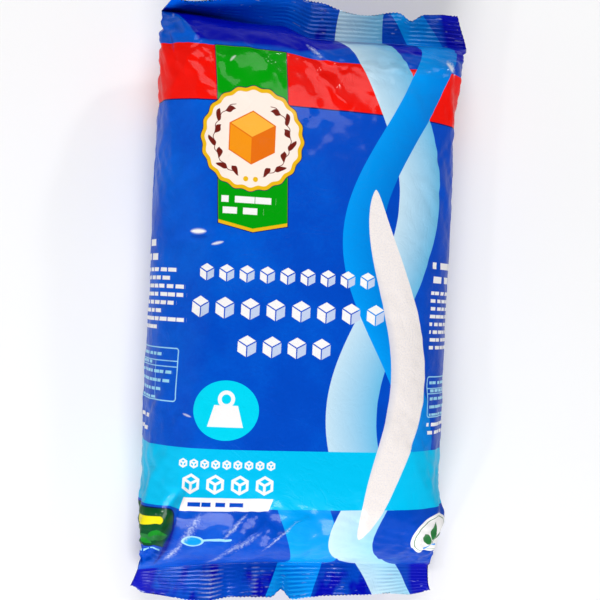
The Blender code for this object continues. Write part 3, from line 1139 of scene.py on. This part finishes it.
def print_sugar_ribbon(press):
    """The white ribbon of granulated sugar, grainy and shaded at its lower left edge."""
    colour, shaded, *sizes = SUGAR_RIBBON
    distance, across = press.shape("ribbon", *sizes)
    grain = film_noise(press.tree, 1600, 1600, 3.0, 0.7)
    shade = (grain * 1.4 - 0.62).at_least(across * -1.6 - 0.85).clipped()
    press.fill(press.mixed(colour, shaded, shade), distance)


def print_wreath(press, right, up, radius):
    """Two brown twigs from the badge's bottom up its sides, with leaves out and in by turns."""
    climb = abs(right).math("ARCTAN2", -up) / WREATH_STEP
    number = climb.floor()
    lean = (0.5 - number.math("FLOORED_MODULO", 2.0)) * 0.9
    along = (climb - number - 0.5) * (WREATH_RADIUS * WREATH_STEP)
    across = radius - WREATH_RADIUS
    leaf_along = along * 0.86 + across * lean
    leaf_across = across * 0.86 - along * lean - lean * 2.2
    share = leaf_along / 2.3
    leaf = abs(leaf_across) - 1.05 * (1 - share * share)
    stem = (abs(across) - 0.16).at_least(1.0 - climb).at_least(climb - WREATH_LEAVES)
    open_ends = (0.5 - number).at_least(number - WREATH_LEAVES + 0.5)
    press.fill(BROWN, stem.at_most(leaf.at_least(open_ends)))


def print_badge(press):
    """The green stripe from the top, and the scalloped badge on it with a cube in a wreath."""
    x, y = press.x, press.y
    centre_x, centre_y = BADGE
    across = x - STRIPE_MIDDLE + 0.04 * (y - centre_y)
    point = y - STRIPE_END - abs(across) * 0.22
    stripe = (abs(across) - STRIPE_HALF_WIDTH).at_least(-point).at_least(y - RED_BAND[1])
    press.fill(DARK_LINE, stripe - 0.35)
    press.fill(GOLD, stripe)
    press.fill(STRIPE_GREEN, stripe.at_least(1.3 - point))
    press.small_print(WHITE_INK, *CAPTION)

    right, up = x - centre_x, y - centre_y
    angle = up.math("ARCTAN2", right)
    radius = (right * right + up * up).root() - (angle * 20).cosine() * 0.35
    press.fill(DARK_LINE, radius - BADGE_RADIUS - 0.3)
    press.fill(GOLD, radius - BADGE_RADIUS)
    press.fill(CREAM, radius - BADGE_RADIUS + 1.5)
    print_wreath(press, right, up, radius)
    for dot_x in (-1.9, 1.9):
        press.fill(GOLD, press.oval(centre_x + dot_x, centre_y - 15.6, 1.0, 1.0))
    edge, seam, on_top, on_right = press.shape(
        "cubes", centre_x, 1.0, 50.0, centre_y + 0.4, 10.2
    )
    side_faces = press.mixed(ORANGE, DARK_ORANGE, on_right)
    faces = press.mixed(side_faces, LIGHT_ORANGE, on_top)
    press.fill(faces, edge)
    press.fill(DARK_ORANGE, edge.at_least(seam - 0.22))
    press.fill(DARK_ORANGE, abs(edge) - 0.22)


def print_weight(press):
    """The cyan disc with a kitchen scale's weight on it."""
    x, y = WEIGHT_DISC
    press.fill(BRIGHT_CYAN, press.oval(x, y, 12.9, 11.6))
    ring = abs(press.oval(x, y + 4.4, 2.6, 2.6)) - 0.75
    press.fill(WHITE_INK, ring)
    narrowing = abs(press.x - x) + (press.y - y) * 0.28
    body = (narrowing - 5.2).at_least(abs(press.y - y + 2.2) - 4.2)
    press.fill(WHITE_INK, body)


def print_band_label(press):
    """Pale cubes in outline on the cyan band, and the slanted white label below them."""
    for first, count, pitch, middle, size in BAND_CUBES:
        edge, seam, _, _ = press.shape("cubes", first, count, pitch, middle, size)
        stroke = 0.10 * size + 0.12
        press.fill(WHITE_INK, edge.at_least(abs(edge + stroke).at_most(seam) - stroke))
    press.fill(WHITE_INK, press.bar(*BAND_LABEL))
    press.small_print(GROUND_BLUE, *LABEL_WORDS)


def print_spoon(press):
    """A spoon in outline, on the ground below the cyan band."""
    handle = press.bar(*SPOON_HANDLE)
    press.fill(PALE_BLUE, press.oval(*SPOON_BOWL, 4.5, 3.1).at_most(handle))
    press.fill(MID_BLUE, press.oval(*SPOON_BOWL, 3.6, 2.3))


def print_table(press, centre_x, half_width, top, rows, row_height):
    """A rounded frame with lines between its rows and one between its two columns."""
    height = rows * row_height
    middle = top - height / 2
    frame_edge = press.bar(centre_x, middle, half_width, height / 2, 1.2)
    press.fill(PALE_BLUE, abs(frame_edge) - 0.22)
    for row in (1.45, 2.1):
        line = strip(press.y, top - row * row_height - 0.18, top - row * row_height + 0.18)
        press.fill(PALE_BLUE, line.at_least(frame_edge))
    column = abs(press.x - centre_x - half_width * 0.45) - 0.12
    below_head = press.y - top + 1.45 * row_height
    press.fill(PALE_BLUE, column.at_least(frame_edge).at_least(below_head))
    left, right = centre_x - half_width + 1.5, centre_x + half_width - 0.5
    press.small_print(PALE_BLUE, left, right, top - 0.8, top - height + 0.5, row_height, 1.2)


def print_side_panels(press):
    """Two panels of small print and tables that start at the front's edges and run round."""
    left, right = LEFT_TEXT_END, PANEL_EDGE
    press.small_print(WHITE_INK, left - 44, left - 6, 22.4, 11.4, 5.6, 2.6)
    press.small_print(WHITE_INK, left - 44, left + 3, 10.6, -15.4, 3.2, 1.5)
    print_table(press, left - 24.0, 23.0, -21.3, 6, 3.4)
    press.small_print(WHITE_INK, left - 44, left - 2, -46.2, -55.8, 4.8, 1.5)
    press.small_print(WHITE_INK, right + 1.4, right + 42, 20.0, 8.4, 5.8, 2.7)
    press.small_print(WHITE_INK, right + 1.2, right + 44, 7.4, -18.6, 3.2, 1.4)
    print_table(press, right + 25.0, 24.0, -28.6, 5, 3.3)
    press.small_print(WHITE_INK, right + 1.4, right + 44, -46.6, -53.2, 3.3, 1.4)


def print_patches(press):
    """The green patch at the lower left and the white badge at the lower right, with leaves."""
    fold = press.x + 47.0 - (press.y + 84.0) * 0.30
    patch = press.bar(*PATCH).at_least(fold)
    # The dark outline is printed; along the fold line it also stands as painted shade of the
    # crease
    press.fill(DARK_LINE, patch - 0.4)
    press.fill(DARK_GREEN, patch)
    for bar in PATCH_BARS:
        press.fill(YELLOW, press.bar(*bar))
    for leaf_x, leaf_y, angle in PATCH_LEAVES:
        leaf, across = press.shape("leaf", leaf_x, leaf_y, 5.6, 2.3, angle)
        leaf_colour = press.mixed(LEAF_GREEN, STRIPE_GREEN, across.above(0.0) * 0.6)
        press.fill(leaf_colour, leaf.at_least(patch + 0.4))
    press.small_print(PALE_BLUE, *PATCH_CAPTION)

    disc_x, disc_y = LEAF_BADGE
    rim = press.oval(disc_x, disc_y, 11.4, 11.6)
    press.fill(WHITE_INK, rim)
    press.fill(LEAF_GREEN, abs(rim + 1.5) - 0.16)
    for leaf_x, leaf_y, angle in BADGE_LEAVES:
        leaf, _ = press.shape("leaf", disc_x + leaf_x, disc_y + leaf_y, 5.0, 1.9, angle)
        press.fill(LEAF_GREEN, leaf)
    press.fill(MID_BLUE, press.bar(disc_x, disc_y - 6.2, 4.6, 0.55, 0.4))


def print_back(press):
    """The back panel: rows of cubes, a block of small print and a white field of upright bars."""
    middle = 1000 * HALF_GIRTH
    for first in (middle - 36.0, -middle + 13.0):
        press.cubes(first, 4.0, 9.0, 52.0, 3.7)
    press.small_print(WHITE_INK, -middle + 12.0, -middle + 50.0, 36.0, -30.0, 3.3, 1.5)
    code_x = middle - 26.0
    field = press.bar(code_x, -12.0, 17.0, 11.0, 0.8)
    press.fill(WHITE_INK, field)
    number = (press.x / 0.66).floor()
    bars = random_share(number, number * 0.37).above(0.52) * ink(field + 2.2)
    press.cover(BLACK_INK, bars)


# Creases: (start x, start y, end x, end y, half width, strength). The white ones are painted
# highlights along the crests of folds; the dark ones are painted shadows where the film is tucked
# in.
PAINTED_CREASE_HIGHLIGHTS = (
    (-38.0, -83.0, -47.0, -101.0, 2.6, 0.70),
    (-45.0, -98.0, -53.0, -114.0, 2.1, 0.85),
    (-20.0, -83.5, -29.5, -96.5, 1.4, 0.70),
    (-13.5, -91.5, -31.0, -107.0, 2.0, 0.60),
    (-28.0, -104.0, -35.5, -119.0, 1.4, 0.50),
    (-1.0, -87.0, -14.0, -102.5, 0.9, 0.85),
    (-5.0, 104.0, 2.0, 96.5, 1.7, 0.90),
    (52.5, 105.5, 56.0, 99.0, 1.6, 0.95),
    (54.5, 101.0, 57.8, 94.0, 1.0, 0.80),
    (-59.0, 120.0, -58.0, 112.0, 1.0, 0.60),
)
# Painted glints, where the film bends over a sharp corner and shines
PAINTED_GLINTS = (
    (-49.5, 24.2, -42.0, 24.4, 1.10, 1.15),
    (-40.2, 19.4, -34.8, 20.8, 0.65, 0.90),
    (-48.4, -45.9, -44.2, -47.1, 0.50, 0.60),
    (-34.8, 90.0, -32.4, 92.4, 0.55, 0.60),
    (52.5, 103.5, 55.8, 96.0, 1.2, 0.80),
)
PAINTED_CREASE_SHADOWS = (
    (-50.0, 22.2, -41.0, 22.4, 1.8, 0.50),
    (-46.4, -82.0, -57.5, -119.0, 2.6, 1.20),
    (-38.0, -124.5, 6.0, -124.5, 8.0, 0.80),
    (-18.0, 121.0, 58.0, 122.5, 9.5, 0.80),
    (-60.0, 103.0, -57.5, 92.0, 0.9, 0.50),
)


def print_creases(press):
    """Painted highlights and painted shadows along sharp folds, painted glints, and white dashes
    of painted highlight on the ribs of the fins.
    """
    rag = film_noise(press.tree, 1000, 1000, 3.0, 0.7)
    rag = ((rag - 0.36) * 2.6).clipped()
    for creases, colour, edge in (
        (PAINTED_CREASE_HIGHLIGHTS, PAINTED_HIGHLIGHT_WHITE, rag),
        (PAINTED_CREASE_SHADOWS, PAINTED_SHADOW_NAVY, 0.6),
        (PAINTED_GLINTS, WHITE_INK, 0.8),
    ):
        for *line, half_width, strength in creases:
            amount = press.shape("crease", *line, half_width, edge)[0]
            press.cover(colour, amount * strength)
    # Painted glints: white dashes on the crests of the fins' ribs, in patches
    ribs = (press.y * (2 * math.pi / 1000 / RIB_PITCH)).sine() * 1.3 - 0.1
    catches = film_noise(press.tree, 160, 330, 2.0, 0.6) * 9 - 5.6
    pleats = (1.0 - abs(press.x + 31.5) * 0.19).at_least(0.8 - abs(press.x + 13.0) * 0.40)
    catches = catches.at_least(pleats.at_most(-press.y))
    on_fin = ((abs(press.y) - RIBS_FROM) * 0.5).clipped()
    painted_rib_glints = ribs.clipped() * catches.clipped()
    press.cover(PAINTED_HIGHLIGHT_WHITE, painted_rib_glints * on_fin * (rag * 0.6 + 0.3))


# ---------------------------------------------------------------- the film's finish

RECESS_SHADE_FROM = 97.2  # mm up the film, from which the recess under the top fin gets painted shade
FIN_SHADE_FROM, FIN_LIGHT_FROM, RIBS_FROM = 124.0, 128.0, 130.0  # mm from the bag's middle, on the fins: where the painted shade, the painted light on the standing fin and the painted rib glints begin
# Painted light and shade on the ground: lighter upwards and darker to the right; the clouds and
# grain are uneven ink
PAINTED_LIGHT_UPWARD, PAINTED_SHADE_RIGHT, CLOUD_DEPTH, GRAIN_DEPTH = 0.0012, 0.34, 1.9, 0.5


def ground_ink_and_painted_light(tree, x, y):
    """The blue ground with painted light: lighter to the left and the top and darker to the right,
    with the faint clouds of uneven ink.

    It turns navy as painted shade above the fill at the upper end, where the film drops into the
    recess under the fin, and in patches on the fins; the fin that stands up at the upper left gets
    a lighter blue as painted light.
    """
    clouds = film_noise(tree, 35, 35, 3.0, 0.55)
    grain = film_noise(tree, 650, 650, 2.0, 0.7)
    round_bag = (x * (math.pi / 1000 / HALF_GIRTH)).sine()
    lean = y * PAINTED_LIGHT_UPWARD - round_bag * PAINTED_SHADE_RIGHT
    lean = lean + (clouds - 0.5) * CLOUD_DEPTH + (grain - 0.5) * GRAIN_DEPTH + 0.05
    lighter = lean.clipped()
    darker = (-lean).clipped()
    press = Printing(tree, x, y, GROUND_BLUE)
    # Painted light and painted shade, mixed with the clouds and grain of uneven ink
    press.cover(LIGHTER_INK_AND_PAINTED_LIGHT, lighter)
    press.cover(DARKER_INK_AND_PAINTED_SHADE, darker)
    # Painted shade: navy in the recess between the top shoulder and the fin, and in patches on the
    # fins
    corner = (-47.0 - x).at_least(0.0) * 2.0
    at_right = (x * 0.425 + 3.4).at_least(0.0).at_most(8.5)
    recess_shade = ((y - RECESS_SHADE_FROM - corner - at_right) * 0.6).clipped()
    folds = film_noise(tree, 110, 60, 2.0, 0.5)
    on_fin = ((abs(y) - FIN_SHADE_FROM) * 0.35).clipped()
    patches = ((folds - 0.56 - y * 0.0003) * 9).at_least((abs(x) - 54.0) * 0.4)
    patches = patches.clipped()
    press.cover(PAINTED_SHADE_NAVY, (recess_shade * (1.0 - on_fin)).at_least(on_fin * patches))
    # Painted light: a lighter blue on the fin that stands up at the upper left, in place of the
    # light the shoulder keeps off it
    standing = ((y - FIN_LIGHT_FROM) * 0.4).at_most(-x * 0.12 - 0.6).clipped()
    press.cover(PAINTED_LIGHT_FIN_BLUE, standing * 0.8)
    return press.colour


def printed_colour(tree, x, y):
    ground = ground_ink_and_painted_light(tree, x, y)
    press = Printing(tree, x, y, ground)
    press.ground = ground
    print_bands(press)
    print_sugar_ribbon(press)
    print_badge(press)
    for row in HEADLINE:
        press.cubes(*row)
    print_weight(press)
    print_band_label(press)
    print_spoon(press)
    print_side_panels(press)
    print_patches(press)
    print_back(press)
    print_creases(press)
    return press.colour


CRINKLE_REACH = 6.0  # mm
CRINKLE_STRENGTH = 0.40
CRINKLE_HEIGHT = 0.00030
MATT, WORN_MATT = 0.25, 0.20  # roughness under the gloss, and what wear adds to it
COAT_WEIGHT = 0.45  # of the film's gloss, seen head on
COAT_ROUGHNESS = 0.09


def crinkle_recipe(x, y, reach):
    """Height of the film's fine crinkles over the sugar's grain, and how worn its gloss is."""
    tree = x.tree
    place = joined(x / reach, y / reach)
    creases = noise(tree, place, 0.55, 3.0, 0.6, 1.2)
    grain = noise(tree, place, 4.0, 2.0, 0.6)
    scuffs = noise(tree, joined(x / reach * 0.3, y / reach), 0.8, 5.0, 0.75)
    crease_line = abs(creases - 0.5)
    height = crease_line.at_most(0.08) * 5.0 + grain * 0.10
    return [height, scuffs]


CRINKLE = make_group(
    "film crinkle",
    {**PLACE, "Reach": CRINKLE_REACH},
    ["Height", "Wear"],
    crinkle_recipe,
)


def film_material():
    material, tree, shader = new_material("printed film")
    film_map = tree.nodes.new("ShaderNodeUVMap")
    film_map.uv_map = "film"
    split = tree.nodes.new("ShaderNodeSeparateXYZ")
    tree.links.new(film_map.outputs[0], split.inputs[0])
    x = Wire(tree, split.outputs[0]) * 1000
    flat_y = Wire(tree, split.outputs[1]) * 1000
    back = x * -BACK_EASE
    leaning = x.at_most(back + BACK_EASE * 1000 * HALF_GIRTH)
    leaning = leaning.at_least(back - BACK_EASE * 1000 * HALF_GIRTH)
    y = flat_y * (leaning * PRINT_FAN + 1) + leaning * PRINT_TURN
    tree.links.new(printed_colour(tree, x, y), shader.inputs["Base Color"])
    height, wear = stamp(CRINKLE, x, flat_y, CRINKLE_REACH)
    add_bump(tree, shader, height, CRINKLE_STRENGTH, CRINKLE_HEIGHT)
    connect(tree, wear * WORN_MATT + MATT, shader.inputs["Roughness"])
    shader.inputs["Specular IOR Level"].default_value = 0.05
    facing = tree.nodes.new("ShaderNodeLayerWeight")
    facing.inputs["Blend"].default_value = 0.5
    head_on = (1.15 - Wire(tree, facing.outputs["Facing"]) * 3.0).at_least(0.10)
    connect(tree, head_on * (1.0 - wear * 0.5) * COAT_WEIGHT, shader.inputs["Coat Weight"])
    shader.inputs["Coat Roughness"].default_value = COAT_ROUGHNESS
    return material


# ---------------------------------------------------------------- floor, camera and lights

CAMERA_DISTANCE = 0.50
CAMERA_FROM_LEFT = math.radians(7)
CAMERA_LEAN = math.radians(2.7)
CAMERA_AIM = Vector((-0.0012, 0.0017, 0.030))
SENSOR_WIDTH = 36.0
VIEW_HEIGHT = 0.2465  # height of the field seen at the distance of the camera's aim

FLOOR_SIZE = 4
FLOOR_DROP = 0.0002  # keeps the floor clear of the bag's underside
PAPER, WHITE_PAPER = srgb(248, 248, 249), srgb(253, 253, 253)


def floor_material():
    """Matt white paper with a faint tooth."""
    material, tree, shader = new_material("white paper")
    place = tree.nodes.new("ShaderNodeTexCoord").outputs["Object"]
    cloud = noise(tree, place, 6.0, 3.0, 0.5)
    tooth = noise(tree, place, 900.0, 3.0, 0.6)
    press = Printing(tree, cloud, cloud, PAPER)
    press.cover(WHITE_PAPER, cloud)
    tree.links.new(press.colour, shader.inputs["Base Color"])
    add_bump(tree, shader, tooth, 0.15, 0.0002)
    connect(tree, tooth * 0.1 + 0.75, shader.inputs["Roughness"])
    return material


def add_floor():
    bpy.ops.mesh.primitive_plane_add(size=FLOOR_SIZE, location=(0, 0, -FLOOR_DROP))
    floor = bpy.context.object
    floor.name = "floor"
    floor.data.materials.append(floor_material())


def add_camera():
    """Over the bag, a little from its left, and turned so that the bag leans a little."""
    camera = bpy.data.objects.new("camera", bpy.data.cameras.new("camera"))
    bpy.context.scene.collection.objects.link(camera)
    bpy.context.scene.camera = camera
    back = Vector((-math.sin(CAMERA_FROM_LEFT), 0, math.cos(CAMERA_FROM_LEFT)))
    upward = Vector((-math.sin(CAMERA_LEAN), math.cos(CAMERA_LEAN), 0))
    right = upward.cross(back).normalized()
    turn = Matrix((right, back.cross(right), back)).transposed().to_4x4()
    camera.matrix_world = Matrix.Translation(CAMERA_AIM + back * CAMERA_DISTANCE) @ turn
    camera.data.sensor_width = SENSOR_WIDTH
    camera.data.lens = SENSOR_WIDTH * CAMERA_DISTANCE / VIEW_HEIGHT


# Soft boxes: (name, place, size, watts)
SOFT_BOXES = (
    ("near box", (-0.10, -0.82, 0.76), 0.52, 9.0),
    ("far box", (-0.05, 0.58, 0.88), 0.62, 4.3),
    ("lamp at the lower left", (-0.50, -0.65, 0.75), 0.06, 1.0),
    ("lamp at the upper right", (0.45, 0.75, 0.50), 0.08, 1.3),
)
ROOM_GLOW = 0.45  # brightness of the room near the floor, on the side that the camera has below
ROOM_DIM = 0.02  # brightness of the room's ceiling


def light_room():
    """A room that glows low down, most on the near side, under a dim ceiling."""
    world = bpy.data.worlds.new("studio")
    world.use_nodes = True
    tree = world.node_tree
    split = tree.nodes.new("ShaderNodeSeparateXYZ")
    tree.links.new(tree.nodes.new("ShaderNodeTexCoord").outputs["Generated"], split.inputs[0])
    far_side, height = Wire(tree, split.outputs[1]), Wire(tree, split.outputs[2])
    low = ((0.90 - height) / 0.40).clipped()
    near = (0.75 - far_side * 0.45).clipped()
    connect(tree, low * near * ROOM_GLOW + ROOM_DIM, tree.nodes["Background"].inputs["Strength"])
    tree.nodes["Background"].inputs["Color"].default_value = (1, 1, 1, 1)
    bpy.context.scene.world = world


def add_lights():
    scene = bpy.context.scene
    for name, place, size, watts in SOFT_BOXES:
        light = bpy.data.lights.new(name, "AREA")
        light.size = size
        light.energy = watts
        lamp = bpy.data.objects.new(name, light)
        lamp.location = place
        lamp.rotation_euler = Vector(place).to_track_quat("Z", "Y").to_euler()
        scene.collection.objects.link(lamp)
    light_room()
    scene.view_settings.view_transform = "Standard"


add_camera()
film = film_object()
film.data.materials.append(film_material())
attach(film, "root")
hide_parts("sugar_packet")
add_floor()
add_lights()
